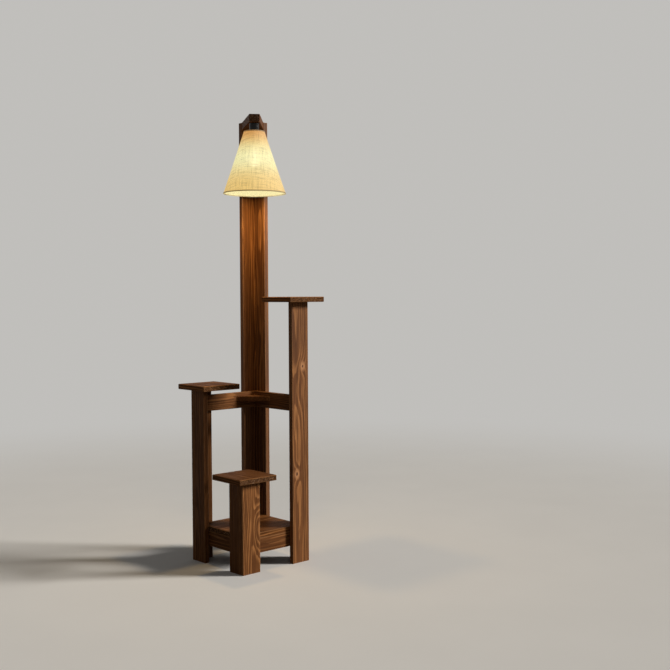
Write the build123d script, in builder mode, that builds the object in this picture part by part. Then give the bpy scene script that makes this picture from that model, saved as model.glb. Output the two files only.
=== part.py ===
"""Shelf floor lamp: four corner posts of paired planks, three small shelves, a base platform,
a tall post with a wooden arm, and a conical fabric shade on a screw lampholder.

Millimetres, +Z up. The origin is on the floor, at the centre of the square footprint.
The low post stands at (-X, -Y), the lamp post at (+X, +Y).
"""

import os
from math import ceil, cos, hypot, pi, radians, sin

from build123d import *

# Timber stock and footprint
footprint = 288.0
plank_width = 73.0
plank_thickness = 18.0
eased_edge = 1.2

# Shelves, centred over their posts but for the middle one, which sits a little to the right
shelf_side = 153.0
shelf_thickness = 18.0
shelf_bevel = 2.0
low_shelf_top = 326.0
mid_shelf_top = 614.0
high_shelf_top = 915.0
mid_shelf_shift = 13.0

# Base platform on its four aprons
platform_top = 127.0
platform_thickness = 18.0
platform_gap = 0.5
apron_height = 50.0
apron_thickness = 18.0

# Upper braces and the corner gusset between them
brace_bottom = 519.0
brace_height = 56.0
brace_thickness = 18.0
gusset_drop = 13.0
gusset_thickness = 18.0
gusset_leg = 84.0

# Lamp post and arm
lamp_post_height = 1535.0
arm_thickness = 26.0
arm_reach = 174.0
arm_tip_width = 36.0
arm_turn = 9.3
lamp_setback = 32.0
nut_recess_radius = 12.0
nut_recess_depth = 9.0

# Dowels and screws
dowel_radius = 4.0
dowel_length = 30.0
dowel_in_face = 10.0
dowel_pitch = 270.0
dowel_end_margin = 48.0
brace_dowel_length = 26.0
thin_dowel_radius = 3.0
thin_dowel_length = 24.0
dowel_fit = 0.05
dowel_end_gap = 1.0
screw_radius = 2.0
screw_head_radius = 4.0
screw_head_depth = 2.6
screw_fit = 0.05
screw_end_gap = 1.0
apron_screw_length = 30.0
arm_screw_length = 40.0
arm_screw_edge = 7.0
arm_screw_pitch = 14.0

# Lampholder, from the arm down
nipple_radius = 5.0
nipple_bore = 3.5
nipple_fit = 0.05
nipple_above_nut = 1.5
nipple_in_cap = 9.0
washer_radius = 10.0
washer_thickness = 1.5
nut_across_flats = 14.0
nut_thickness = 5.0
cap_radius = 16.0
cap_height = 32.0
cap_wall = 2.5
cap_roof = 4.0
cap_rounding = 1.5
collar_radius = 22.0
collar_thickness = 3.0
skirt_radius = 19.5
skirt_length = 31.5
skirt_wall = 4.5
skirt_ledge = 0.7
insert_thickness = 10.0
insert_fit = 0.05
shell_radius = 13.9
shell_wall = 0.4
shell_length = 22.0
contact_radius = 4.0
contact_thickness = 1.5

# Retaining ring under the shade's fitter
ring_height = 9.0
ring_radius = 24.0
ring_fit = 0.3
ring_rib_radius = 1.2
ring_ribs = 18

# Bulb
bulb_length = 105.0
bulb_radius = 30.0
bulb_glass_wall = 1.0
bulb_neck_radius = 15.0
bulb_shoulder_angle = 32.0
bulb_collar_height = 9.0
bulb_cap_radius = 13.1
bulb_cap_length = 24.0
bulb_cap_cone = 4.0
bulb_tip_radius = 4.5
bulb_tip_face = 3.0
bulb_tip_height = 1.5
bulb_tip_gap = 0.3

# Shade
shade_height = 213.0
shade_top_radius = 35.0
shade_bottom_radius = 107.0
shade_cloth = 1.0
shade_above_fitter = 7.5
wire_radius = 1.5
wire_gap = 0.15
wire_hem = 2.0
spoke_radius = 1.2
spoke_count = 3
fitter_radius = 27.0
fitter_thickness = 1.6
fitter_fit = 0.4
moving_gap = 0.3

# Places worked out from the sizes above
half = footprint / 2
inner = half - plank_thickness
wing = half - plank_width
plank_middle = half - plank_thickness / 2
wing_middle = (half + wing) / 2
side_middle = (inner + wing) / 2
brace_inner = inner - brace_thickness
brace_top = brace_bottom + brace_height
gusset_top = brace_top - gusset_drop
gusset_bottom = gusset_top - gusset_thickness
apron_inner = inner - apron_thickness
apron_top = platform_top - platform_thickness
apron_bottom = apron_top - apron_height
corner_middle = (wing + apron_inner) / 2
platform_half = inner - platform_gap

arm_under = lamp_post_height - arm_thickness
arm_bearing = radians(45.0 - arm_turn)
ahead = Vector(-sin(arm_bearing), -cos(arm_bearing))
across = Vector(cos(arm_bearing), -sin(arm_bearing))
arm_tip = Vector(side_middle, side_middle) + ahead * arm_reach
lamp = arm_tip - ahead * lamp_setback
recess_floor = lamp_post_height - nut_recess_depth
nipple_top = recess_floor + washer_thickness + nut_thickness + nipple_above_nut
nipple_bottom = arm_under - nipple_in_cap

collar_top = arm_under - cap_height
skirt_top = collar_top - collar_thickness
skirt_bottom = skirt_top - skirt_length
insert_radius = skirt_radius - skirt_wall
insert_bottom = collar_top - insert_thickness
shell_bottom = insert_bottom - shell_length
contact_bottom = insert_bottom - contact_thickness
fitter_top = skirt_top - moving_gap
fitter_bottom = fitter_top - fitter_thickness
ring_top = fitter_bottom - moving_gap

shade_top = fitter_top + shade_above_fitter
shade_bottom = shade_top - shade_height
shade_slope = (shade_bottom_radius - shade_top_radius) / shade_height
cloth_across = shade_cloth * hypot(1.0, shade_slope)
wire_across = (wire_radius + wire_gap) * hypot(1.0, shade_slope)
top_wire = shade_top - wire_hem
bottom_wire = shade_bottom + wire_hem

bulb_top = contact_bottom - bulb_tip_gap
bulb_cap_end = bulb_top - bulb_cap_length
bulb_neck_end = bulb_cap_end - bulb_collar_height
bulb_middle = bulb_top - bulb_length + bulb_radius

lamp_axis = Axis((lamp.X, lamp.Y, 0), (0, 0, 1))
lamp_section = Plane(origin=(lamp.X, lamp.Y, 0), x_dir=(1, 0, 0), z_dir=(0, -1, 0))

# Each post is an L: the face plank lies along X, the side plank butts against its inner side.
# The values are the side of X, the side of Y and the height of the planks.
posts = {
    "low_post": (-1, -1, low_shelf_top - shelf_thickness),
    "mid_post": (-1, 1, mid_shelf_top - shelf_thickness),
    "high_post": (1, -1, high_shelf_top - shelf_thickness),
    "lamp_post": (1, 1, lamp_post_height),
}
# Each shelf has the sides of its post, its top and how far it sits to the right of its post.
shelves = {
    "low_shelf": (-1, -1, low_shelf_top, 0.0),
    "mid_shelf": (-1, 1, mid_shelf_top, mid_shelf_shift),
    "high_shelf": (1, -1, high_shelf_top, 0.0),
}


def save(piece, name):
    """Labels a finished piece and writes it under its own name."""
    piece.part.label = name
    export_step(piece.part, f"parts/{name}.step")


def board(low, high, bevel=eased_edge):
    """Adds a planed board between two opposite corners, its edges eased."""
    xs, ys, zs = [sorted(pair) for pair in zip(low, high)]
    with Locations(((xs[0] + xs[1]) / 2, (ys[0] + ys[1]) / 2, (zs[0] + zs[1]) / 2)):
        Box(xs[1] - xs[0], ys[1] - ys[0], zs[1] - zs[0])
    chamfer(edges(), bevel)


def peg(middle, direction, radius, length, mode=Mode.ADD):
    """Adds or cuts a round bar, given by its middle and the way it points."""
    with Locations(Plane(origin=middle, z_dir=direction)):
        Cylinder(radius, length, mode=mode)


def pegs(places, radius, length):
    """Adds a group of dowels."""
    for middle, direction in places:
        peg(middle, direction, radius, length)


def peg_holes(places, radius, length):
    """Cuts the holes of some dowels, a little wider and longer than the dowels."""
    for middle, direction in places:
        peg(middle, direction, radius + dowel_fit, length + 2 * dowel_end_gap, Mode.SUBTRACT)


def screws(places, length, fit=0.0, mode=Mode.ADD):
    """Adds a group of countersunk screws, each given by its head's face and its way in."""
    end = (Align.CENTER, Align.CENTER, Align.MIN)
    for head, direction in places:
        with Locations(Plane(origin=head, z_dir=direction)):
            Cylinder(screw_radius + fit, length, align=end, mode=mode)
            Cone(screw_head_radius + fit, screw_radius + fit, screw_head_depth, align=end, mode=mode)


def screw_holes(places, length):
    """Cuts the countersunk holes of some screws, a little longer than the screws."""
    screws(places, length + screw_end_gap, screw_fit, Mode.SUBTRACT)


def turned(outline):
    """Adds the body that an outline of (radius, height) points sweeps round the lamp's axis."""
    with BuildSketch(lamp_section) as section:
        with BuildLine():
            Polyline(*outline, close=True)
        make_face()
    revolve(section.sketch, axis=lamp_axis)


def post_dowels(sx, sy, height):
    """Dowels across the joint of one post's two planks, evenly spread over its height."""
    joint = sy * (inner + dowel_in_face - dowel_length / 2)
    room = height - 2 * dowel_end_margin
    gaps = ceil(room / dowel_pitch)
    levels = [dowel_end_margin + i * room / gaps for i in range(gaps + 1)]
    return [((sx * plank_middle, joint, z), (0, 1, 0)) for z in levels]


def shelf_dowels(sx, sy, top):
    """Upright dowels under one shelf, one in each plank of its post."""
    z = top - shelf_thickness + dowel_in_face - dowel_length / 2
    spots = [(sx * wing_middle, sy * plank_middle), (sx * plank_middle, sy * side_middle)]
    return [((x, y, z), (0, 0, 1)) for x, y in spots]


def brace_dowels():
    """Dowels from the posts' inner faces into the ends of the two braces."""
    places = []
    for z in (brace_bottom + brace_height / 4, brace_top - brace_height / 4):
        places.append(((-side_middle, inner, z), (0, 1, 0)))
        places.append(((side_middle, inner, z), (0, 1, 0)))
        places.append(((inner, -side_middle, z), (1, 0, 0)))
        places.append(((inner, corner_middle, z), (1, 0, 0)))
    return places


def gusset_dowels():
    """Thin dowels from the two braces into the edges of the corner gusset."""
    z = (gusset_top + gusset_bottom) / 2
    places = []
    for along in (brace_inner - gusset_leg / 3, brace_inner - gusset_leg * 2 / 3):
        places.append(((along, brace_inner, z), (0, 1, 0)))
        places.append(((brace_inner, along, z), (1, 0, 0)))
    return places


def platform_dowels():
    """Thin upright dowels from the middle of each apron into the platform board."""
    line = inner - apron_thickness / 2
    spots = [(line, 0), (-line, 0), (0, line), (0, -line)]
    return [((x, y, apron_top), (0, 0, 1)) for x, y in spots]


def apron_screws():
    """Screws driven from inside through the apron ends into the posts."""
    places = []
    for z in (apron_bottom + apron_height / 4, apron_top - apron_height / 4):
        for sx in (-1, 1):
            for sy in (-1, 1):
                places.append(((sx * corner_middle, sy * apron_inner, z), (0, sy, 0)))
                places.append(((sx * apron_inner, sy * corner_middle, z), (sx, 0, 0)))
    return places


def arm_screws():
    """Screws driven from behind through the lamp post into the root of the arm."""
    z = (lamp_post_height + arm_under) / 2
    places = []
    for row in (wing + arm_screw_edge, wing + arm_screw_edge + arm_screw_pitch):
        places.append(((row, half, z), (0, -1, 0)))
        places.append(((half, row, z), (-1, 0, 0)))
    return places


def post_holes(name, sx, sy, height):
    """Cuts every dowel and screw hole of one post."""
    peg_holes(post_dowels(sx, sy, height), dowel_radius, dowel_length)
    screw_holes(apron_screws(), apron_screw_length)
    if name == "lamp_post":
        screw_holes(arm_screws(), arm_screw_length)
    else:
        peg_holes(shelf_dowels(sx, sy, height + shelf_thickness), dowel_radius, dowel_length)
    if name != "low_post":
        peg_holes(brace_dowels(), dowel_radius, brace_dowel_length)


os.makedirs("parts", exist_ok=True)

# Posts, two planks each
for name, (sx, sy, height) in posts.items():
    with BuildPart() as face_plank:
        board((sx * wing, sy * inner, 0), (sx * half, sy * half, height))
        post_holes(name, sx, sy, height)
    save(face_plank, f"{name}_face_plank")

    with BuildPart() as side_plank:
        board((sx * inner, sy * wing, 0), (sx * half, sy * inner, height))
        post_holes(name, sx, sy, height)
    save(side_plank, f"{name}_side_plank")

with BuildPart() as plank_pegs:
    for sx, sy, height in posts.values():
        pegs(post_dowels(sx, sy, height), dowel_radius, dowel_length)
save(plank_pegs, "plank_dowels")

# Shelves
shelf_near = half - plank_width / 2 - shelf_side / 2
shelf_far = shelf_near + shelf_side
for name, (sx, sy, top, shift) in shelves.items():
    with BuildPart() as shelf:
        near = (sx * shelf_near + shift, sy * shelf_near, top - shelf_thickness)
        far = (sx * shelf_far + shift, sy * shelf_far, top)
        board(near, far, shelf_bevel)
        peg_holes(shelf_dowels(sx, sy, top), dowel_radius, dowel_length)
    save(shelf, name)

with BuildPart() as shelf_pegs:
    for sx, sy, top, _ in shelves.values():
        pegs(shelf_dowels(sx, sy, top), dowel_radius, dowel_length)
save(shelf_pegs, "shelf_dowels")

# Aprons: the front and back ones run the full width, the side ones fit between them
for name, side in {"front_apron": -1, "back_apron": 1}.items():
    with BuildPart() as long_apron:
        board((-inner, side * apron_inner, apron_bottom), (inner, side * inner, apron_top))
        screw_holes(apron_screws(), apron_screw_length)
        peg_holes(platform_dowels(), thin_dowel_radius, thin_dowel_length)
    save(long_apron, name)

for name, side in {"left_apron": -1, "right_apron": 1}.items():
    with BuildPart() as short_apron:
        board((side * apron_inner, -apron_inner, apron_bottom), (side * inner, apron_inner, apron_top))
        screw_holes(apron_screws(), apron_screw_length)
        peg_holes(platform_dowels(), thin_dowel_radius, thin_dowel_length)
    save(short_apron, name)

with BuildPart() as apron_fixings:
    screws(apron_screws(), apron_screw_length)
save(apron_fixings, "apron_screws")

# Platform
with BuildPart() as platform_board:
    board((-platform_half, -platform_half, apron_top), (platform_half, platform_half, platform_top))
    peg_holes(platform_dowels(), thin_dowel_radius, thin_dowel_length)
save(platform_board, "platform_board")

with BuildPart() as platform_pegs:
    pegs(platform_dowels(), thin_dowel_radius, thin_dowel_length)
save(platform_pegs, "platform_dowels")

# Braces, and the three-cornered gusset let in between them
with BuildPart() as back_brace:
    board((-inner, brace_inner, brace_bottom), (inner, inner, brace_top))
    peg_holes(brace_dowels(), dowel_radius, brace_dowel_length)
    peg_holes(gusset_dowels(), thin_dowel_radius, thin_dowel_length)
save(back_brace, "back_brace")

with BuildPart() as right_brace:
    board((brace_inner, -inner, brace_bottom), (inner, brace_inner, brace_top))
    peg_holes(brace_dowels(), dowel_radius, brace_dowel_length)
    peg_holes(gusset_dowels(), thin_dowel_radius, thin_dowel_length)
save(right_brace, "right_brace")

with BuildPart() as brace_pegs:
    pegs(brace_dowels(), dowel_radius, brace_dowel_length)
save(brace_pegs, "brace_dowels")

with BuildPart() as corner_gusset:
    with BuildSketch(Plane.XY.offset(gusset_bottom)):
        with BuildLine():
            corner = (brace_inner, brace_inner)
            along_back = (brace_inner - gusset_leg, brace_inner)
            along_right = (brace_inner, brace_inner - gusset_leg)
            Polyline(corner, along_back, along_right, close=True)
        make_face()
    extrude(amount=gusset_thickness)
    long_side = corner_gusset.faces().sort_by(Axis((0, 0, 0), (1, 1, 0)))[0]
    chamfer(long_side.edges().filter_by(Axis.Z, reverse=True), eased_edge)
    peg_holes(gusset_dowels(), thin_dowel_radius, thin_dowel_length)
save(corner_gusset, "corner_gusset")

with BuildPart() as gusset_pegs:
    pegs(gusset_dowels(), thin_dowel_radius, thin_dowel_length)
save(gusset_pegs, "gusset_dowels")

# Arm: fits the inner corner of the lamp post and tapers towards the lamp
with BuildPart() as lamp_arm:
    with BuildSketch(Plane.XY.offset(arm_under)):
        with BuildLine():
            tip_left = arm_tip - across * (arm_tip_width / 2)
            tip_right = arm_tip + across * (arm_tip_width / 2)
            Polyline((inner, inner), (wing, inner), tip_left, tip_right, (inner, wing), close=True)
        make_face()
    extrude(amount=arm_thickness)
    chamfer(lamp_arm.edges().filter_by(lambda edge: edge.center().X < wing - 1), eased_edge)
    with Locations((lamp.X, lamp.Y, lamp_post_height)):
        CounterBoreHole(nipple_radius + nipple_fit, nut_recess_radius, nut_recess_depth)
    screw_holes(arm_screws(), arm_screw_length)
save(lamp_arm, "lamp_arm")

with BuildPart() as arm_fixings:
    screws(arm_screws(), arm_screw_length)
save(arm_fixings, "arm_screws")

# Nipple with its nut and washer; the wire comes down through the bore
with BuildPart() as hollow_nipple:
    turned([
        (nipple_bore, nipple_bottom),
        (nipple_radius, nipple_bottom),
        (nipple_radius, nipple_top),
        (nipple_bore, nipple_top),
    ])
save(hollow_nipple, "hollow_nipple")

with BuildPart() as nipple_washer:
    with BuildSketch(Plane((lamp.X, lamp.Y, recess_floor))):
        Circle(washer_radius)
        Circle(nipple_radius + nipple_fit, mode=Mode.SUBTRACT)
    extrude(amount=washer_thickness)
save(nipple_washer, "nipple_washer")

with BuildPart() as nipple_nut:
    with BuildSketch(Plane((lamp.X, lamp.Y, recess_floor + washer_thickness))):
        RegularPolygon(nut_across_flats / 2, 6, major_radius=False)
        Circle(nipple_radius + nipple_fit, mode=Mode.SUBTRACT)
    extrude(amount=nut_thickness)
save(nipple_nut, "nipple_nut")

# Lampholder: a closed cap under the arm, then the body with its collar and threaded skirt
with BuildPart() as lampholder_cap:
    turned([
        (nipple_radius + nipple_fit, arm_under),
        (cap_radius - cap_rounding, arm_under),
        (cap_radius, arm_under - cap_rounding),
        (cap_radius, collar_top),
        (cap_radius - cap_wall, collar_top),
        (cap_radius - cap_wall, arm_under - cap_roof),
        (nipple_radius + nipple_fit, arm_under - cap_roof),
    ])
save(lampholder_cap, "lampholder_cap")

with BuildPart() as lampholder_body:
    turned([
        (insert_radius, collar_top),
        (collar_radius, collar_top),
        (collar_radius, skirt_top),
        (skirt_radius, skirt_top),
        (skirt_radius, skirt_bottom),
        (insert_radius - skirt_ledge, skirt_bottom),
        (insert_radius - skirt_ledge, insert_bottom),
        (insert_radius, insert_bottom),
    ])
save(lampholder_body, "lampholder_body")

with BuildPart() as lampholder_insert:
    with BuildSketch(Plane((lamp.X, lamp.Y, insert_bottom))):
        Circle(insert_radius - insert_fit)
    extrude(amount=insert_thickness)
save(lampholder_insert, "lampholder_insert")

with BuildPart() as screw_shell:
    with BuildSketch(Plane((lamp.X, lamp.Y, shell_bottom))):
        Circle(shell_radius)
        Circle(shell_radius - shell_wall, mode=Mode.SUBTRACT)
    extrude(amount=shell_length)
save(screw_shell, "screw_shell")

with BuildPart() as centre_contact:
    with BuildSketch(Plane((lamp.X, lamp.Y, contact_bottom))):
        Circle(contact_radius)
    extrude(amount=contact_thickness)
save(centre_contact, "centre_contact")

# Retaining ring, ribbed for the fingers
with BuildPart() as shade_ring:
    with BuildSketch(Plane((lamp.X, lamp.Y, ring_top - ring_height))):
        Circle(ring_radius)
        with PolarLocations(ring_radius, ring_ribs):
            Circle(ring_rib_radius)
        Circle(skirt_radius + ring_fit, mode=Mode.SUBTRACT)
    extrude(amount=ring_height)
save(shade_ring, "shade_ring")

# Shade: the cloth cone
with BuildPart() as shade_fabric:
    turned([
        (shade_top_radius - cloth_across, shade_top),
        (shade_top_radius, shade_top),
        (shade_bottom_radius, shade_bottom),
        (shade_bottom_radius - cloth_across, shade_bottom),
    ])
save(shade_fabric, "shade_fabric")


def wire_ring_radius(height):
    """Distance from the lamp's axis of a wire that lies inside the cloth at a height."""
    return shade_top_radius + (shade_top - height) * shade_slope - cloth_across - wire_across


def wire_hoop(height):
    """Adds a hoop of wire lying inside the cloth."""
    with BuildSketch(lamp_section) as section:
        with Locations((wire_ring_radius(height), height)):
            Circle(wire_radius)
    revolve(section.sketch, axis=lamp_axis)


# Frame welded from the fitter, the spokes and the top wire, and the loose wire in the bottom hem
with BuildPart() as shade_top_frame:
    wire_hoop(top_wire)
    turned([
        (skirt_radius + fitter_fit, fitter_bottom),
        (fitter_radius, fitter_bottom),
        (fitter_radius, fitter_top),
        (skirt_radius + fitter_fit, fitter_top),
    ])
    spoke_foot = Vector(fitter_radius - spoke_radius, (fitter_bottom + fitter_top) / 2)
    spoke_run = Vector(wire_ring_radius(top_wire), top_wire) - spoke_foot
    for i in range(spoke_count):
        turn = (i + 0.5) * 2 * pi / spoke_count
        outward = Vector(cos(turn), sin(turn), 0)
        foot = Vector(lamp.X, lamp.Y, spoke_foot.Y) + outward * spoke_foot.X
        run = outward * spoke_run.X + Vector(0, 0, spoke_run.Y)
        peg(foot + run / 2, run, spoke_radius, run.length)
save(shade_top_frame, "shade_top_frame")

with BuildPart() as shade_bottom_wire:
    wire_hoop(bottom_wire)
save(shade_bottom_wire, "shade_bottom_wire")


def globe_outline(inset):
    """Draws the globe from its pole to its neck, moved inwards by an inset; gives both ends."""
    radius = bulb_radius - inset
    stops = [-pi / 2, -pi / 4, 0, radians(bulb_shoulder_angle) / 2, radians(bulb_shoulder_angle)]
    ring = [(radius * cos(stop), bulb_middle + radius * sin(stop)) for stop in stops]
    neck = (bulb_neck_radius - inset, bulb_neck_end)
    ThreePointArc(ring[0], ring[1], ring[2])
    ThreePointArc(ring[2], ring[3], ring[4])
    Spline(ring[4], neck, tangents=[(-sin(stops[4]), cos(stops[4])), (0, 1)])
    return ring[0], neck


# Bulb: a hollow opal globe on its collar, with the screw cap and its contact
with BuildPart() as bulb_globe:
    with BuildSketch(lamp_section):
        with BuildLine():
            outer_pole, outer_neck = globe_outline(0)
            inner_pole, inner_neck = globe_outline(bulb_glass_wall)
            Line(outer_pole, inner_pole)
            Line(outer_neck, inner_neck)
        make_face()
    revolve(axis=lamp_axis)
save(bulb_globe, "bulb_globe")

with BuildPart() as bulb_collar:
    turned([
        (0, bulb_neck_end),
        (bulb_neck_radius, bulb_neck_end),
        (bulb_cap_radius, bulb_cap_end),
        (0, bulb_cap_end),
    ])
save(bulb_collar, "bulb_collar")

with BuildPart() as bulb_cap:
    turned([
        (0, bulb_cap_end),
        (bulb_cap_radius, bulb_cap_end),
        (bulb_cap_radius, bulb_top - bulb_tip_height - bulb_cap_cone),
        (bulb_tip_radius, bulb_top - bulb_tip_height),
        (0, bulb_top - bulb_tip_height),
    ])
save(bulb_cap, "bulb_cap")

with BuildPart() as bulb_contact:
    turned([
        (0, bulb_top - bulb_tip_height),
        (bulb_tip_radius, bulb_top - bulb_tip_height),
        (bulb_tip_face, bulb_top),
        (0, bulb_top),
    ])
save(bulb_contact, "bulb_contact")
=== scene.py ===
# %% [markdown]
# # A floor lamp of stained planks
#
# This notebook dresses the solids of a floor lamp: four posts of paired planks, three square
# shelves, a low platform, and a linen cone hung from a wooden arm. The solids come in as a
# fixed frame. Here they get their camera, light and materials, and the few pieces that look
# better as fine meshes than as plain solids: the cloth, the threads and the screw heads.
# The frame is in metres, with +Z up and the origin on the floor in the middle of the feet.

# %% Load the frame
from math import cos, hypot, pi, radians, sin

import bpy
from mathutils import Matrix, Vector


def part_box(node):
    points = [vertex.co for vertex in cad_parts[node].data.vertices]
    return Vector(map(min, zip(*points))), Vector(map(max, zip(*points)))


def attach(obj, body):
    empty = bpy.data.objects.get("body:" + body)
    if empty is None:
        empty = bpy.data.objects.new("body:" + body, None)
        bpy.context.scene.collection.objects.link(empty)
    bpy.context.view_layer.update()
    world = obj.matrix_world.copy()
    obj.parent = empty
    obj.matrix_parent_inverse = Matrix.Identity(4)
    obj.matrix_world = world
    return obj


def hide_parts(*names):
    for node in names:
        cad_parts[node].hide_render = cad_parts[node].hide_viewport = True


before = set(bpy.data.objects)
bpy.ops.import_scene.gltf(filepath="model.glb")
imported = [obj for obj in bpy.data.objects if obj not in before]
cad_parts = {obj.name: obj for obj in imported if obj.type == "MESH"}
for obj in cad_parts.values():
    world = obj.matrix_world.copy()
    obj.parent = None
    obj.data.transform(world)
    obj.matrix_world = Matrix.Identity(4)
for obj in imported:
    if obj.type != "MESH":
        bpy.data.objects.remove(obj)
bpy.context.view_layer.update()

# %% [markdown]
# ## The camera
#
# The lamp is seen from waist height, three and a half metres away, with the low post nearest.
# At that distance the far post is hardly smaller than the near one, and the lens is a little
# longer than a normal one. The place and tilt come from lining up the corners of the planks.

# %% Camera
camera_place = Vector((-2.1209, -2.7532, 0.920))
camera_turn = radians(42.5)
camera_dip = radians(2.276)
camera_roll = radians(-0.258)
lens_length = 53.95
film_width = 36.0
look = Vector((sin(camera_turn) * cos(camera_dip), cos(camera_turn) * cos(camera_dip),
               -sin(camera_dip)))


def add_object(name, data):
    """Puts a camera, a light or a mesh into the scene."""
    thing = bpy.data.objects.new(name, data)
    bpy.context.collection.objects.link(thing)
    return thing


lens = bpy.data.cameras.new("photo_camera")
lens.lens = lens_length
lens.sensor_width = film_width
camera = add_object("photo_camera", lens)
aim = look.to_track_quat("-Z", "Y") @ Matrix.Rotation(camera_roll, 3, "Z").to_quaternion()
camera.rotation_mode = "QUATERNION"
camera.rotation_quaternion = aim
camera.location = camera_place
bpy.context.scene.camera = camera
print("camera looks along", [round(v, 3) for v in look])

# %% [markdown]
# ## Small helpers
#
# Every finish but the linen's is worked out by nodes from the place of a point on the object, so
# it needs no pictures and no unwrapping. A few short helpers keep the node code readable.

# %% Node helpers
NUMBER = "NodeSocketFloat"
PLACE = "NodeSocketVector"
COLOR = "NodeSocketColor"


def put(tree, kind, **settings):
    """Adds a node and sets what it is told to."""
    node = tree.nodes.new(kind)
    for name, value in settings.items():
        setattr(node, name, value)
    return node


def feed(tree, socket, value):
    """Joins a socket to another one, or gives it a plain value."""
    if isinstance(value, bpy.types.NodeSocket):
        tree.links.new(value, socket)
    else:
        socket.default_value = value


def give(tree, node, values):
    """Feeds the named sockets of a node."""
    for title, value in values.items():
        feed(tree, node.inputs[title], value)


def calc(tree, operation, *values, clamp=False):
    """One step of arithmetic on numbers or sockets."""
    node = put(tree, "ShaderNodeMath", operation=operation, use_clamp=clamp)
    for socket, value in zip(node.inputs, values):
        feed(tree, socket, value)
    return node.outputs[0]


def plus(tree, first, *others):
    """Adds numbers or sockets, one after another."""
    for other in others:
        first = calc(tree, "ADD", first, other)
    return first


def minus(tree, first, *others):
    """Takes numbers or sockets away, one after another."""
    for other in others:
        first = calc(tree, "SUBTRACT", first, other)
    return first


def times(tree, first, *others):
    """Multiplies numbers or sockets, one after another."""
    for other in others:
        first = calc(tree, "MULTIPLY", first, other)
    return first


def vector_calc(tree, operation, *values):
    """One step of vector arithmetic."""
    node = put(tree, "ShaderNodeVectorMath", operation=operation)
    for socket, value in zip(node.inputs, values):
        feed(tree, socket, value)
    return node.outputs["Value" if operation in ("LENGTH", "DOT_PRODUCT") else "Vector"]


def scaled(tree, vector, size):
    """A vector or a colour times one number."""
    node = put(tree, "ShaderNodeVectorMath", operation="SCALE")
    give(tree, node, {"Vector": vector, "Scale": size})
    return node.outputs["Vector"]


def split(tree, vector):
    """The three parts of a vector."""
    node = put(tree, "ShaderNodeSeparateXYZ")
    feed(tree, node.inputs[0], vector)
    return node.outputs[0], node.outputs[1], node.outputs[2]


def join(tree, x, y, z):
    """A vector from three numbers."""
    node = put(tree, "ShaderNodeCombineXYZ")
    for socket, value in zip(node.inputs, (x, y, z)):
        feed(tree, socket, value)
    return node.outputs[0]


def noise(tree, place, scale=1.0, detail=2.0, roughness=0.5):
    """Smooth random values from 0 to 1."""
    node = put(tree, "ShaderNodeTexNoise")
    give(tree, node, {"Vector": place, "Scale": scale, "Detail": detail, "Roughness": roughness})
    return node.outputs["Fac"]


def remap(tree, value, low, high, to_low=0.0, to_high=1.0, smooth=True):
    """Stretches a range of values onto another, without going past its ends."""
    shape = "SMOOTHSTEP" if smooth else "LINEAR"
    node = put(tree, "ShaderNodeMapRange", interpolation_type=shape)
    give(tree, node, {"Value": value, "From Min": low, "From Max": high,
                      "To Min": to_low, "To Max": to_high})
    return node.outputs["Result"]


def blend(tree, share, first, second, how="MIX"):
    """Mixes two colours."""
    node = put(tree, "ShaderNodeMix", data_type="RGBA", blend_type=how)
    feed(tree, node.inputs[0], share)
    feed(tree, node.inputs[6], first)
    feed(tree, node.inputs[7], second)
    return node.outputs[2]


def shaded(tree, color, tone):
    """Makes a colour darker or lighter by one number."""
    return blend(tree, 1.0, color, join(tree, tone, tone, tone), "MULTIPLY")


def open_group(name, inputs, outputs):
    """A new node group with its named inputs (kind and first value) and outputs (kind)."""
    group = bpy.data.node_groups.new(name, "ShaderNodeTree")
    for title, (kind, value) in inputs.items():
        socket = group.interface.new_socket(title, in_out="INPUT", socket_type=kind)
        if value is not None:
            socket.default_value = value
    for title, kind in outputs.items():
        group.interface.new_socket(title, in_out="OUTPUT", socket_type=kind)
    way_in = group.nodes.new("NodeGroupInput").outputs
    return group, way_in, group.nodes.new("NodeGroupOutput")


def use_group(tree, group, values):
    """Places a group in a material and sets its inputs."""
    node = put(tree, "ShaderNodeGroup", node_tree=group)
    give(tree, node, values)
    return node.outputs


def new_material(name):
    """An empty material: its node tree, its main shader and the place on the object."""
    material = bpy.data.materials.new(name)
    material.use_nodes = True
    tree = material.node_tree
    shader = tree.nodes["Principled BSDF"]
    place = put(tree, "ShaderNodeTexCoord").outputs["Object"]
    return material, tree, shader, place


def rough_up(tree, shader, height, depth, strength):
    """Bends the shading by a height; the depth is in metres."""
    bump = put(tree, "ShaderNodeBump")
    give(tree, bump, {"Distance": depth, "Strength": strength, "Height": height})
    give(tree, shader, {"Normal": bump.outputs["Normal"]})


def dress(node, material):
    """Puts one material all over a solid of the frame."""
    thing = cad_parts[node]
    for slot in thing.material_slots:
        slot.material = material
    if not thing.material_slots:
        thing.data.materials.append(material)


print("helpers ready")

# %% [markdown]
# ## Plain light
#
# Softwood looks its best under one broad light from the side: the faces towards it show their
# figure, the faces away from it fall into shade, and the square section of each post reads at
# once. A wide, soft sun stands low to the right. It gives every height the same light, which a
# near lamp can't do for something this tall. A faint even sky fills the shade. What the camera,
# a gloss or a glass sees of the sky is a paler grey than what lights the wood, so the ground
# round the lamp stays pale while its shaded sides stay deep.

# %% Sky and sun
ground_color = (0.530, 0.520, 0.500, 1)
fill_color = (1.0, 0.98, 0.95, 1)
fill_strength = 0.11
sun_strength = 4.0
sun_spread = radians(14)
sun_color = (1.0, 0.965, 0.915)
towards_sun = Vector((0.70, -0.63, 0.36))

scene = bpy.context.scene
scene.view_settings.view_transform = "Standard"
sky = bpy.data.worlds.new("studio_sky")
scene.world = sky
sky.use_nodes = True
tree = sky.node_tree
tree.nodes.clear()


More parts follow.
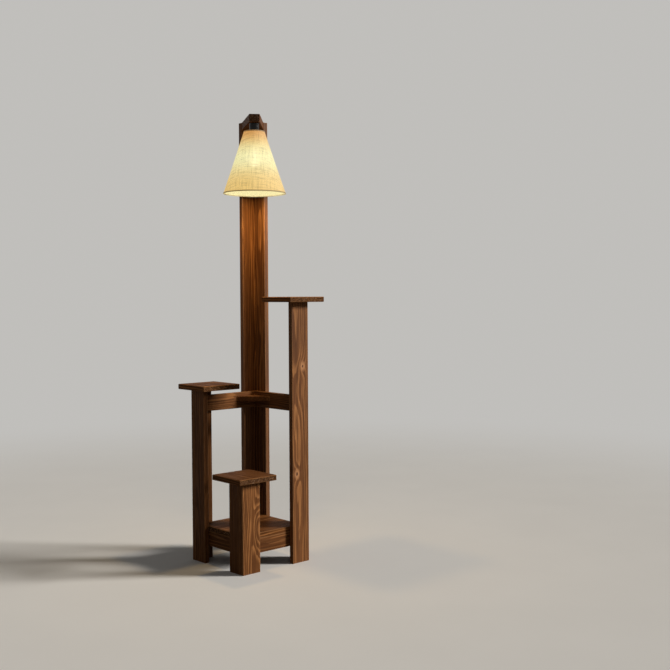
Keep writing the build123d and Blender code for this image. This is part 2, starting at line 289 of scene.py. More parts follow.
def seen_ray(tree):
    """1 for rays that show the ground to the camera, a gloss or a glass, else 0."""
    ray = put(tree, "ShaderNodeLightPath").outputs
    seen = calc(tree, "MAXIMUM", ray["Is Camera Ray"], ray["Is Glossy Ray"])
    return calc(tree, "MAXIMUM", seen, ray["Is Transmission Ray"])


def mix_shaders(tree, share, first, second):
    """Mixes two shaders and gives the result."""
    node = put(tree, "ShaderNodeMixShader")
    for socket, value in zip(node.inputs, (share, first, second)):
        feed(tree, socket, value)
    return node.outputs[0]


def plain_sky(color, strength):
    """A sky of one colour."""
    node = put(tree, "ShaderNodeBackground")
    give(tree, node, {"Color": color, "Strength": strength})
    return node.outputs[0]


both_skies = mix_shaders(tree, seen_ray(tree), plain_sky(fill_color, fill_strength),
                         plain_sky(ground_color, 1.0))
give(tree, put(tree, "ShaderNodeOutputWorld"), {"Surface": both_skies})

sun = bpy.data.lights.new("side_sun", "SUN")
sun.energy = sun_strength
sun.angle = sun_spread
sun.color = sun_color
side_sun = add_object("side_sun", sun)
side_sun.rotation_euler = towards_sun.to_track_quat("Z", "Y").to_euler()
print("sun", sun_strength, "sky", fill_strength)

# %% [markdown]
# ## The ground
#
# The ground is one large flat sheet. Near the lamp it is a real lit surface, so it takes the
# lamp's shadow. Further out it fades into the plain colour of the sky, so that no far edge and
# no horizon line draws the eye away from the lamp. Its finish comes last.

# %% Ground sheet
ground_reach = 14.0
ground_corners = [(x * ground_reach, y * ground_reach, 0)
                  for x, y in ((-1, -1), (1, -1), (1, 1), (-1, 1))]
ground_mesh = bpy.data.meshes.new("ground")
ground_mesh.from_pydata(ground_corners, [], [(0, 1, 2, 3)])
ground = add_object("ground", ground_mesh)
print("ground sheet", 2 * ground_reach, "m across")

# %% [markdown]
# ## Stained softwood
#
# A plank is a slice of a trunk, so its figure is what its faces cut out of the yearly rings. One
# group holds that trunk: rings round a wandering heart line, branches that push the rings aside
# and leave knots, fine pores along the grain, and the uneven take-up of a brown stain. The soft
# early wood drinks more stain and goes dark, while the hard late wood stays lighter, so the
# rings show as pale lines on brown. A crown is a place where the saw just grazed a swelling of
# the trunk, which leaves tall closed ovals. End grain drinks most of all: it goes dark and rough.

# %% Softwood group: the rings
no_knot = (0.0, 0.0, -9.0)
slow_scales = (6.0, 6.0, 1.6)
ripple_scales = (60.0, 60.0, 5.0)
sway_reach = 0.030
ripple_rings = 1.3
branch_rise = 0.62
branch_fade = 0.10
branch_push = 1.25
crown_width = 0.022
crown_height = 0.080
ring_rise = (0.40, 0.84)
ring_fall = (1.0, 0.92)

timber, given, result = open_group(
    "Stained softwood",
    {
        "Place": (PLACE, None),
        "Facing": (PLACE, (1, 0, 0)),
        "Heart": (PLACE, (0.03, 0.05, 0)),
        "Lean": (PLACE, (0.01, 0.0, 0)),
        "Ring width": (NUMBER, 0.0055),
        "Knot A": (PLACE, no_knot),
        "Knot B": (PLACE, no_knot),
        "Knot size": (NUMBER, 0.006),
        "Crown": (PLACE, (0, 0, 0)),
        "Stain": (NUMBER, 0.0),
        "Figure": (NUMBER, 1.0),
    },
    {"Color": COLOR, "Roughness": NUMBER, "Height": NUMBER},
)
place = given["Place"]
along_x, along_y, along_z = split(timber, place)


def stretched(scales, shift=(0.0, 0.0, 0.0)):
    """The place on the plank, stretched by its own scale each way."""
    return vector_calc(timber, "ADD", vector_calc(timber, "MULTIPLY", place, scales), shift)


def off_heart(here, heart, lean, shift):
    """Distance from the wandering heart line along one side of the plank."""
    sway = minus(timber, noise(timber, stretched(slow_scales, shift)), 0.5)
    line = plus(timber, heart, times(timber, along_z, lean), times(timber, sway, sway_reach))
    return minus(timber, here, line)


def length_of(first, second):
    """Length of a flat arrow from its two parts."""
    squares = plus(timber, times(timber, first, first), times(timber, second, second))
    return calc(timber, "SQRT", squares)


def hill(tree, distance, steepness):
    """A smooth hill: 1 in the middle, falling away with distance."""
    return calc(tree, "POWER", 2.718, times(tree, distance, distance, -steepness))


def knot_at(spot):
    """Distance from a branch that crosses the plank, stretched along the grain."""
    spot_x, _, spot_z = split(timber, spot)
    rise = times(timber, minus(timber, along_z, spot_z), branch_rise)
    return length_of(minus(timber, along_x, spot_x), rise)


lean_x, lean_y, _ = split(timber, given["Lean"])
heart_x, heart_y, _ = split(timber, given["Heart"])
radius = length_of(off_heart(along_x, heart_x, lean_x, (0.0, 0.0, 0.0)),
                   off_heart(along_y, heart_y, lean_y, (7.3, 1.9, 4.1)))

knot_gap = calc(timber, "MINIMUM", knot_at(given["Knot A"]), knot_at(given["Knot B"]))
knot_share = calc(timber, "DIVIDE", knot_gap, given["Knot size"])
push = times(timber, hill(timber, knot_share, branch_fade), given["Knot size"], branch_push)

crown_x, crown_force, crown_z = split(timber, given["Crown"])
crown_side = calc(timber, "DIVIDE", minus(timber, along_x, crown_x), crown_width)
crown_rise = calc(timber, "DIVIDE", minus(timber, along_z, crown_z), crown_height)
swelling = times(timber, hill(timber, length_of(crown_side, crown_rise), 1.0), crown_force)

ripple = minus(timber, noise(timber, stretched(ripple_scales), 1.0, 3.0, 0.55), 0.5)
ring_count = calc(timber, "DIVIDE", plus(timber, radius, push, swelling), given["Ring width"])
ring = calc(timber, "FRACT", plus(timber, ring_count, times(timber, ripple, ripple_rings)))
late_wood = times(timber, remap(timber, ring, *ring_rise), remap(timber, ring, *ring_fall))
print("rings:", len(timber.nodes), "nodes")

# %% [markdown]
# The rings only say where the wood is hard or soft. The second half of the group turns that into
# a colour, a gloss and a relief. Streaks and clouds in the stain matter as much as the rings do:
# without them every plank would look printed. Each range below says which values of a noise or a
# distance make the change, and where two more numbers follow, what they are changed into.

# %% Softwood group: the stain
dark_stain = (0.088, 0.030, 0.0080, 1)
mid_stain = (0.178, 0.066, 0.0190, 1)
pale_wood = (0.390, 0.166, 0.054, 1)
knot_halo = (0.500, 0.235, 0.100, 1)
knot_core = (0.040, 0.014, 0.007, 1)
end_stain = (0.055, 0.034, 0.020, 1)
end_crumb = (0.360, 0.265, 0.185, 1)
streak_share, cloud_share, halo_share, core_share, end_share = 0.80, 0.40, 0.80, 0.85, 0.30
core_ripple = 1.8
stain_range = (0.44, 0.74)
line_range = (0.40, 0.74, 0.20, 0.68)
pore_range = (0.32, 0.52, 0.66, 1.0)
halo_range = (2.6, 0.7)
core_range = (0.80, 0.48)
end_range = (0.80, 0.95)
tone_range = (0.38, 0.64, 0.30, 1.40)
crumb_range = (0.54, 0.68, 0.0, 0.55)
shine_range = (0.3, 0.7, 0.66, 0.52)
late_gloss, end_dull = 0.08, 0.28
late_relief, fibre_relief, crumb_relief, core_relief = 0.45, 0.55, 2.2, 0.4
fibre_scales, cloud_scales = (520.0, 520.0, 9.0), (15.0, 15.0, 4.5)
streak_scales, streak_shift = (150.0, 150.0, 2.4), (3.0, 8.0, 1.0)

fibre = noise(timber, stretched(fibre_scales), 1.0, 3.0, 0.6)
streak = noise(timber, stretched(streak_scales, streak_shift), 1.0, 3.0, 0.60)
cloud = noise(timber, stretched(cloud_scales))
crumbs = noise(timber, place, 210.0, 4.0, 0.80)

taken_up = plus(timber, times(timber, streak, streak_share), times(timber, cloud, cloud_share))
taken_up = minus(timber, taken_up, given["Stain"])
wood = blend(timber, remap(timber, taken_up, *stain_range), dark_stain, mid_stain)
line_share = times(timber, late_wood, remap(timber, taken_up, *line_range))
line_share = calc(timber, "MULTIPLY", line_share, given["Figure"], clamp=True)
wood = blend(timber, line_share, wood, pale_wood)
wood = shaded(timber, wood, remap(timber, fibre, *pore_range))
halo = times(timber, remap(timber, knot_share, *halo_range), halo_share)
wood = blend(timber, halo, wood, knot_halo)
core = remap(timber, plus(timber, knot_share, times(timber, ripple, core_ripple)), *core_range)
wood = blend(timber, times(timber, core, core_share), wood, knot_core)

_, _, facing_end = split(timber, given["Facing"])
end_grain = remap(timber, calc(timber, "ABSOLUTE", facing_end), *end_range)
end_color = shaded(timber, wood, remap(timber, crumbs, *tone_range))
end_color = blend(timber, end_share, end_color, end_stain)
end_color = blend(timber, remap(timber, crumbs, *crumb_range), end_color, end_crumb)

shine = minus(timber, remap(timber, fibre, *shine_range), times(timber, late_wood, late_gloss))
relief = plus(timber, times(timber, late_wood, late_relief), times(timber, fibre, fibre_relief),
              times(timber, end_grain, crumbs, crumb_relief))
give(timber, result, {
    "Color": blend(timber, end_grain, wood, end_color),
    "Roughness": plus(timber, shine, times(timber, end_grain, end_dull)),
    "Height": minus(timber, relief, times(timber, core, core_relief)),
})
print("softwood group:", len(timber.nodes), "nodes")

# %% [markdown]
# ## Rubbed edges and painted edge highlights
#
# Hands and cloths rub the stain thin along a board's edges, and a lit edge shows as a thin pale
# line. The pale edge colour here stands for both: the wear, and a painted highlight. The edges of
# a plain board are where two of its six sides come close together, so a group can find them from
# the board's corners: of the three distances to the nearest sides, the middle one is small only
# near an edge.

# %% Rubbed edge and painted highlight group
patch_scale = 38.0
patch_gain = 2.0

rubbed_and_lit, given, result = open_group(
    "Rubbed and highlit edges",
    {
        "Place": (PLACE, None),
        "Low corner": (PLACE, (0, 0, 0)),
        "High corner": (PLACE, (0, 0, 0)),
        "Width": (NUMBER, 0.0035),
    },
    {"Mask": NUMBER},
)


def apart(first, second):
    """How far two points are apart along each axis."""
    return vector_calc(rubbed_and_lit, "ABSOLUTE", vector_calc(rubbed_and_lit, "SUBTRACT", first, second))


to_low = apart(given["Place"], given["Low corner"])
to_high = apart(given["High corner"], given["Place"])
near_x, near_y, near_z = split(rubbed_and_lit, vector_calc(rubbed_and_lit, "MINIMUM", to_low, to_high))
least = calc(rubbed_and_lit, "MINIMUM", calc(rubbed_and_lit, "MINIMUM", near_x, near_y), near_z)
most = calc(rubbed_and_lit, "MAXIMUM", calc(rubbed_and_lit, "MAXIMUM", near_x, near_y), near_z)
middle_gap = minus(rubbed_and_lit, plus(rubbed_and_lit, near_x, near_y, near_z), least, most)
patchy = noise(rubbed_and_lit, given["Place"], patch_scale, 3.0, 0.6)
edge_reach = times(rubbed_and_lit, given["Width"], times(rubbed_and_lit, patchy, patch_gain))
give(rubbed_and_lit, result, {"Mask": remap(rubbed_and_lit, middle_gap, edge_reach, 0.0)})
print("rubbed edge group:", len(rubbed_and_lit.nodes), "nodes")

# %% [markdown]
# ## A material for each plank
#
# The grain of a post runs up, that of a brace, an apron or the arm runs along it, and the shelves
# show end grain on their front and back edges. The trunk group thinks of the grain as its third
# axis, so each material first turns the place of a point round to suit. Planks cut from one trunk
# side by side would look alike, so every plank has its own heart line, stain and knots. A knot is
# given by its place across and its height, and a crown by its place across, its force and its
# height. A polish is how much the plank mirrors: the shelves and the platform are the dullest.

# %% Plank materials
grain_axes = {
    "up": ((1, 0, 0), (0, 1, 0), (0, 0, 1)),
    "right": ((0, 1, 0), (0, 0, 1), (1, 0, 0)),
    "back": ((0, 0, 1), (1, 0, 0), (0, 1, 0)),
    "arm": ((0.812, -0.584, 0), (0, 0, 1), (-0.584, -0.812, 0)),
}
# Pale edge colour: partly stain rubbed thin, partly a painted highlight along the edges.
edge_wear_and_highlight_color = (0.340, 0.165, 0.066, 1)
edge_wear_and_highlight_share = 0.55
grain_relief = (0.0005, 0.7)

# Each row gives a plank's grain, heart line, lean and ring width, and then what sets it apart.
planks = [
    ("low_post_face_plank", "up", (-0.086, -0.188), (0.05, 0.02), 0.0048,
     dict(crown=(-0.079, 0.022, 0.150), stain_and_shade=0.01, figure=1.35)),
    ("low_post_side_plank", "up", (-0.19, -0.06), (0.01, 0.0), 0.0040, dict(stain_and_shade=0.12)),
    ("mid_post_face_plank", "up", (-0.13, 0.19), (0.012, 0.0), 0.0045, {}),
    ("mid_post_side_plank", "up", (-0.21, 0.12), (0.008, 0.006), 0.0040, dict(stain_and_shade=0.10)),
    ("high_post_face_plank", "up", (0.100, -0.185), (-0.012, 0.008), 0.0050,
     dict(knots=[(0.1180, 0.677), (0.0912, 0.308)], knot_size=0.0058,
          crown=(0.104, 0.010, 0.600), figure=1.25, polish=0.10)),
    ("high_post_side_plank", "up", (0.20, -0.06), (0.0, 0.01), 0.0042, dict(stain_and_shade=0.12)),
    ("lamp_post_face_plank", "up", (0.135, 0.090), (0.006, 0.0), 0.0052,
     dict(stain_and_shade=0.05, figure=1.5, polish=0.16)),
    ("lamp_post_side_plank", "up", (0.085, 0.09), (0.0, 0.006), 0.0046,
     dict(stain_and_shade=0.08, figure=1.5, polish=0.16)),
    ("low_shelf", "back", (0.36, -0.13), (0.02, 0.0), 0.0046,
     dict(stain_and_shade=0.22, figure=1.7, polish=0.03)),
    ("mid_shelf", "back", (0.67, -0.09), (0.01, 0.01), 0.0050,
     dict(stain_and_shade=0.04, figure=1.4, polish=0.03)),
    ("high_shelf", "back", (0.95, 0.13), (0.015, 0.0), 0.0046, dict(polish=0.03)),
    ("front_apron", "right", (-0.16, 0.09), (0.01, 0.02), 0.0042, dict(stain_and_shade=0.06)),
    ("back_apron", "right", (0.16, 0.06), (0.0, 0.01), 0.0045, dict(stain_and_shade=0.08)),
    ("left_apron", "back", (0.10, -0.17), (0.01, 0.0), 0.0045, dict(stain_and_shade=0.12)),
    ("right_apron", "back", (0.05, 0.17), (0.0, 0.01), 0.0045, dict(stain_and_shade=0.08)),
    ("platform_board", "right", (0.03, 0.19), (0.03, 0.0), 0.0056,
     dict(stain_and_shade=0.05, figure=1.4, polish=0.03)),
    ("back_brace", "right", (0.155, 0.57), (0.02, 0.01), 0.0042, dict(stain_and_shade=-0.04)),
    ("right_brace", "back", (0.50, 0.155), (0.0, 0.012), 0.0045, dict(stain_and_shade=0.12)),
    ("corner_gusset", "right", (0.06, 0.60), (0.02, 0.0), 0.0046, dict(stain_and_shade=0.10)),
    # The arm's extra stain is painted shade: it darkens the whole arm like the deep shade it sits
    # in.
    ("lamp_arm", "arm", (0.09, 1.56), (0.01, 0.005), 0.0045, dict(stain_and_shade=0.24, figure=0.8)),
]


def turned(tree, vector, grain):
    """A vector turned so that its third axis runs along the grain."""
    axes = grain_axes[grain]
    return join(tree, *[vector_calc(tree, "DOT_PRODUCT", vector, axis) for axis in axes])


# stain_and_shade darkens the stain; on the arm it also stands for painted shade.
def plank_finish(node, grain, heart, lean, ring_width, knots=(), knot_size=0.006,
                 crown=(0.0, 0.0, 0.0), stain_and_shade=0.0, figure=1.0, polish=0.06):
    """Gives one plank its own stained softwood."""
    material, tree, shader, here = new_material("pine_" + node)
    facing = here.node.outputs["Normal"]
    spots = [(x, 0.0, z) for x, z in knots] + [no_knot] * (2 - len(knots))
    wood = use_group(tree, timber, {
        "Place": turned(tree, here, grain), "Facing": turned(tree, facing, grain),
        "Heart": (*heart, 0), "Lean": (*lean, 0), "Ring width": ring_width,
        "Knot A": spots[0], "Knot B": spots[1], "Knot size": knot_size,
        "Crown": crown, "Stain": stain_and_shade, "Figure": figure,
    })
    low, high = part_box(node)
    # The edge mask paints rubbed wear and an edge highlight together.
    worn_and_lit_edge = use_group(tree, rubbed_and_lit, {
        "Place": here, "Low corner": tuple(low), "High corner": tuple(high),
    })
    share = times(tree, worn_and_lit_edge["Mask"], edge_wear_and_highlight_share)
    color = blend(tree, share, wood["Color"], edge_wear_and_highlight_color)
    give(tree, shader, {"Base Color": color, "Roughness": wood["Roughness"],
                        "Specular IOR Level": polish})
    rough_up(tree, shader, wood["Height"], *grain_relief)
    dress(node, material)


for node, grain, heart, lean, ring_width, own in planks:
    plank_finish(node, grain, heart, lean, ring_width, **own)
print("planks dressed:", len(planks))

# %% [markdown]
# ## Fittings of steel, brass, ceramic and plastic
#
# The smaller pieces differ from spot to spot only a little, and one noise is enough for each: it
# mixes two near colours, varies the gloss and gives a trace of relief. The dowels are beech, and
# the nipple, nut, washer and screws zinc-plated steel. The holder's insert is an off-white
# ceramic, and its shell and contacts are thin brass. The bulb has a white plastic collar and a
# rolled metal cap. The shade's wires are dipped in white enamel, a touch yellow from the heat.

# %% One-noise finishes


def fine_finish(name, nodes, scales, detail, texture, tones, gloss, relief, metallic=0.0):
    """A finish from one noise: its scales, detail and roughness, its two colours, a range of it
    turned into a range of roughness, and the depth (in metres) and strength of its relief."""
    material, tree, shader, here = new_material(name)
    fine = noise(tree, vector_calc(tree, "MULTIPLY", here, scales), 1.0, detail, texture)
    give(tree, shader, {"Base Color": blend(tree, fine, *tones),
                        "Roughness": remap(tree, fine, *gloss), "Metallic": metallic})
    rough_up(tree, shader, fine, *relief)
    for node in nodes:
        dress(node, material)
    return material


fine_finish("beech", ["plank_dowels", "shelf_dowels", "platform_dowels", "brace_dowels",
                      "gusset_dowels"],
            (260.0, 260.0, 60.0), 3.0, 0.6, [(0.42, 0.25, 0.12, 1), (0.60, 0.42, 0.24, 1)],
            (0.2, 0.8, 0.62, 0.5), (0.0002, 0.5))
zinc = fine_finish("zinc_plate", ["hollow_nipple", "nipple_washer", "nipple_nut"],
                   (900.0,) * 3, 2.0, 0.6, [(0.50, 0.51, 0.52, 1), (0.68, 0.68, 0.67, 1)],
                   (0.2, 0.8, 0.24, 0.42), (0.00005, 0.4), metallic=1.0)
fine_finish("ceramic", ["lampholder_insert"],
            (500.0,) * 3, 4.0, 0.7, [(0.66, 0.63, 0.56, 1), (0.80, 0.78, 0.72, 1)],
            (0.3, 0.7, 0.35, 0.5), (0.0001, 0.4))
fine_finish("thin_brass", ["screw_shell", "centre_contact", "bulb_contact"],
            (260.0,) * 3, 3.0, 0.6, [(0.45, 0.30, 0.11, 1), (0.72, 0.52, 0.22, 1)],
            (0.2, 0.8, 0.36, 0.22), (0.00008, 0.4), metallic=1.0)
fine_finish("white_plastic", ["bulb_collar"],
            (800.0,) * 3, 2.0, 0.5, [(0.70, 0.68, 0.64, 1), (0.78, 0.77, 0.73, 1)],
            (0.3, 0.7, 0.42, 0.52), (0.00006, 0.4))
bright_metal = fine_finish("bright_metal", [],
                           (200.0, 200.0, 1600.0), 2.0, 0.5,
                           [(0.60, 0.60, 0.59, 1), (0.76, 0.76, 0.75, 1)],
                           (0.2, 0.8, 0.22, 0.36), (0.00005, 0.4), metallic=1.0)
fine_finish("white_enamel", ["shade_top_frame", "shade_bottom_wire"],
            (220.0,) * 3, 3.0, 0.5, [(0.66, 0.62, 0.53, 1), (0.78, 0.76, 0.70, 1)],
            (0.3, 0.7, 0.30, 0.42), (0.0001, 0.4))
print("fine finishes ready")

# %% [markdown]
# The holder is pressed from a black thermoset plastic, the kind that comes out of its mould with
# a deep gloss and keeps it. Handling leaves faint smears, so the roughness is low but not even.

# %% Black gloss
black_tones = [(0.004, 0.0036, 0.0032, 1), (0.009, 0.0078, 0.0070, 1)]
smear_gloss = (0.25, 0.75, 0.10, 0.22)
black_polish = 0.20

black_gloss, tree, shader, here = new_material("black_gloss")
smear = noise(tree, here, 120.0, 3.0, 0.55)
give(tree, shader, {"Base Color": blend(tree, smear, *black_tones),
                    "Roughness": remap(tree, smear, *smear_gloss),
                    "Specular IOR Level": black_polish})
rough_up(tree, shader, noise(tree, here, 700.0), 0.00004, 0.3)
for node in ("lampholder_cap", "lampholder_body", "shade_ring"):
    dress(node, black_gloss)
print("lampholder finished")

# %% [markdown]
# ## Threads
#
# A lathe thread is one ridge that climbs evenly round a barrel. Here it is swept one point at a
# time: a ring of points goes round the barrel, each a little higher than the last, and the radius
# swells and falls once for every turn of height. The holder's skirt and the bulb's cap are made
# this way, with many thin rows up the barrel so that the ridge stays round.

# %% Threaded barrels
ring_low, ring_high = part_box("shade_ring")
lamp_x = (ring_low[0] + ring_high[0]) / 2
lamp_y = (ring_low[1] + ring_high[1]) / 2
print("lamp axis at", round(lamp_x, 4), round(lamp_y, 4))


def link_mesh(name, points, faces, material, body, smooth=True):
    """Makes a mesh object, gives it a finish and lets it ride on its body."""
    mesh = bpy.data.meshes.new(name)
    mesh.from_pydata(points, [], faces)
    mesh.update()
    mesh.materials.append(material)
    for face in mesh.polygons:
        face.use_smooth = smooth
    thing = add_object(name, mesh)
    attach(thing, body)
    return thing


def barrel_rows(rows, around, radius_at, height_at):
    """Points of a barrel, row by row; radius and height depend on the row and the turn."""
    points = []
    for row in range(rows):
        for step in range(around):
            turn = 2 * pi * step / around
            reach = radius_at(row, turn)
            height = height_at(row, turn)
            points.append((lamp_x + reach * cos(turn), lamp_y + reach * sin(turn), height))
    return points


def barrel_faces(rows, around, closed=False):
    """Quads between the rows of a barrel; closed joins the last row to the first."""
    faces = []
    for row in range(rows if closed else rows - 1):
        low, high = row * around, (row + 1) % rows * around
        for step in range(around):
            nearby = (step + 1) % around
            faces.append((low + step, low + nearby, high + nearby, high + step))
    return faces


def thread_rows(low, high, pitch, core, depth, rows_each):
    """Rows, a radius rule and a height rule for a thread between two heights."""
    rows = int((high - low) / pitch * rows_each)

    def height_at(row, turn):
        return low + (high - low) * row / (rows - 1)

    def radius_at(row, turn):
        phase = (height_at(row, turn) - low) / pitch - turn / (2 * pi)
        fade = min(1.0, row / rows_each, (rows - 1 - row) / rows_each)
        return core + depth * fade * (0.5 + 0.5 * cos(2 * pi * phase))

    return rows, radius_at, height_at


skirt_radius = 0.0195
collar_thick = 0.0030
skirt_pitch = 0.0025
skirt_depth = 0.0002
skirt_around = 72
skirt_margin = 0.0003
skirt_lift = 0.00002
body_low, body_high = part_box("lampholder_body")
rows, radius_at, height_at = thread_rows(
    body_low[2] + skirt_margin, body_high[2] - collar_thick - skirt_margin, skirt_pitch,
    skirt_radius + skirt_lift, skirt_depth, 8)
link_mesh("skirt_thread", barrel_rows(rows, skirt_around, radius_at, height_at),
          barrel_faces(rows, skirt_around), black_gloss, "frame")
print("skirt thread rows:", rows)

# %% [markdown]
# ## The bulb
#
# The globe is opal glass, lit from inside, so its own material gives the light that fills the
# shade. It shines evenly up to its widest place and less towards the neck, where the collar hides
# the lit parts. The screw cap has the broad round thread that such caps have, so a finer barrel
# takes the place of the plain solid.

# %% Globe and threaded cap
glass_tones = [(0.90, 0.86, 0.78, 1), (0.95, 0.93, 0.88, 1)]
light_tones = [(1.0, 0.80, 0.50, 1), (1.0, 0.86, 0.58, 1)]
glass_gloss = (0.3, 0.7, 0.28, 0.36)
globe_strength = 13.0
even_below = 0.035
neck_margin = 0.004
neck_light = 0.24

opal, tree, shader, here = new_material("opal_glass")
milk = noise(tree, here, 60.0)
globe_low, globe_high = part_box("bulb_globe")
towards_neck = remap(tree, split(tree, here)[2], globe_low[2] + even_below,
                     globe_high[2] - neck_margin, 1.0, neck_light)
give(tree, shader, {
    "Base Color": blend(tree, milk, *glass_tones),
    "Roughness": remap(tree, milk, *glass_gloss),
    "Emission Color": scaled(tree, blend(tree, milk, *light_tones), towards_neck),
    "Emission Strength": globe_strength,
})
dress("bulb_globe", opal)

cap_low, cap_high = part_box("bulb_cap")
cap_radius = (cap_high[0] - cap_low[0]) / 2
cap_around = 64
cap_cone = 0.0040
cap_tip_radius = 0.0045
cap_plain_rim = 0.0015
cap_pitch = 0.0036
cap_core = cap_radius - 0.0010
cap_rim = cap_radius - 0.0001
cap_depth = 0.0009
rows, radius_at, height_at = thread_rows(cap_low[2] + cap_plain_rim, cap_high[2] - cap_cone,
                                         cap_pitch, cap_core, cap_depth, 12)
points = barrel_rows(1, cap_around, lambda *_: cap_rim, lambda *_: cap_low[2])
points += barrel_rows(rows, cap_around, radius_at, height_at)
points += barrel_rows(1, cap_around, lambda *_: cap_tip_radius, lambda *_: cap_high[2])
faces = barrel_faces(rows + 2, cap_around)
faces.append(tuple(reversed(range(cap_around))))
faces.append(tuple(range((rows + 1) * cap_around, (rows + 2) * cap_around)))
cap_thread = link_mesh("bulb_screw_cap", points, faces, bright_metal, "bulb")
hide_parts("bulb_cap")
print("bulb cap rows:", rows)

# %% [markdown]
# Most of the warm light leaves by the shade's mouth and falls down the post and on the shelves. A
# small soft disc of light that faces down, just inside the mouth, stands for it. A disc is easier
# to sample than a bright globe, so the wood below the shade comes out clean.

# %% Warm light from the mouth
disc_width = 0.056
disc_power = 1.5
disc_color = (1.0, 0.66, 0.27)
disc_inside = 0.004

mouth_glow = bpy.data.lights.new("mouth_glow", "AREA")
mouth_glow.shape = "DISK"
mouth_glow.size = disc_width
mouth_glow.energy = disc_power
mouth_glow.color = disc_color
mouth_lamp = add_object("mouth_glow", mouth_glow)
mouth_lamp.location = (lamp_x, lamp_y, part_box("shade_bottom_wire")[0][2] + disc_inside)
mouth_lamp.visible_camera = False
print("mouth light at", [round(v, 3) for v in mouth_lamp.location])

# %% [markdown]
# ## Linen
#
# The cloth is an open plain weave of uneven linen yarn. Close to, it is a grid of threads that go
# over and under each other. From across a room only the uneven ones show, as faint streaks both
# ways. With the lamp on, thick yarn holds light back and thin yarn lets it through, so the same
# pattern that colours the cloth also shapes its glow. One group makes that pattern from the
# cloth's own flat measure, which keeps the threads straight in the cloth as it was cut.

# %% Weave group
drift_scale = 55.0
drift_threads = 1.6
yarn_flank = (0.0, 0.45)
slub_fast, slub_slow = 300.0, 18.0
faint_slubs = (0.36, 0.64)
strong_slubs = (0.57, 0.68)
yarn_relief, slub_relief = 0.7, 0.9

weave, given, result = open_group(
    "Linen weave",
    {"Flat place": (PLACE, None), "Thread": (NUMBER, 0.0011)},
    {"Open": NUMBER, "Height": NUMBER, "Slub": NUMBER},
)
flat_u, flat_v, _ = split(weave, given["Flat place"])
drift = noise(weave, given["Flat place"], drift_scale)
drift = times(weave, minus(weave, drift, 0.5), drift_threads)
count_u = plus(weave, calc(weave, "DIVIDE", flat_u, given["Thread"]), drift)
count_v = plus(weave, calc(weave, "DIVIDE", flat_v, given["Thread"]), drift)


def yarn(count):
    """Round backs of the yarns that lie side by side."""
    return calc(weave, "ABSOLUTE", calc(weave, "SINE", times(weave, count, pi)))


def slubs(scale_u, scale_v, shift):
    """Streaks where the yarn was spun thicker: a few strong ones among many faint ones."""
    spot = join(weave, times(weave, flat_u, scale_u), times(weave, flat_v, scale_v), shift)
    spun = noise(weave, spot, 1.0, 3.0, 0.62)
    return plus(weave, times(weave, remap(weave, spun, *faint_slubs), 0.5),
                times(weave, remap(weave, spun, *strong_slubs), 0.5))


checker = put(weave, "ShaderNodeTexChecker")
give(weave, checker, {"Vector": join(weave, count_u, count_v, 0.5), "Scale": 1.0})
over = checker.outputs["Fac"]
warp = yarn(count_u)
weft = yarn(count_v)
top_yarn = plus(weave, times(weave, over, warp), times(weave, minus(weave, 1.0, over), weft))
covered = times(weave, remap(weave, warp, *yarn_flank), remap(weave, weft, *yarn_flank))

upright = slubs(slub_fast, slub_slow, 1.0)
level = slubs(slub_slow, slub_fast, 5.0)
slub = times(weave, plus(weave, upright, level), 0.5)
relief = plus(weave, times(weave, top_yarn, yarn_relief), times(weave, slub, slub_relief))
give(weave, result, {"Open": minus(weave, 1.0, covered), "Height": relief, "Slub": slub})
print("weave group:", len(weave.nodes), "nodes")

# %% [markdown]
# ## The painted glow of the shade
#
# Light bounces about inside the pale cone, so the whole cloth glows. Here that glow is painted: an
# emission on the cloth stands in for the globe's light coming through it. The painted glow is
# brightest at the height of the globe, where the light is nearest. It is dim and amber at the top,
# where the holder keeps the light off, which is a painted shade of the holder. Strong light looks
# pale and weak light looks amber. The material works this out from the height of a point. Thick
# yarns hold light back, so they show as darker threads, and the gaps between yarns let the globe
# itself show through a little. The inner side, which the globe lights straight on, is painted pale
# all over. The bindings at the rims are painted with much less glow.

# %% Lit linen
thin_tint = (0.20, 0.16, 0.10, 1)
thick_tint = (0.12, 0.085, 0.05, 1)
# Colours of the painted glow; holder_shade_glow is the painted shade under the holder.
amber_glow = (0.740, 0.485, 0.150, 1)
pale_glow = (0.840, 0.790, 0.420, 1)
holder_shade_glow = (0.580, 0.260, 0.066, 1)
globe_rise = 0.025
pale_reach = 0.052
holder_shade_reach = 0.060
holder_shade_share = 0.85
slub_range = (0.15, 0.80)
thin_light, thick_light = (1.09, -0.07), (0.60, 0.30)
weave_relief = (0.0004, 0.7)
globe_height = globe_low[2] + globe_rise
shade_low, shade_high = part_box("shade_fabric")


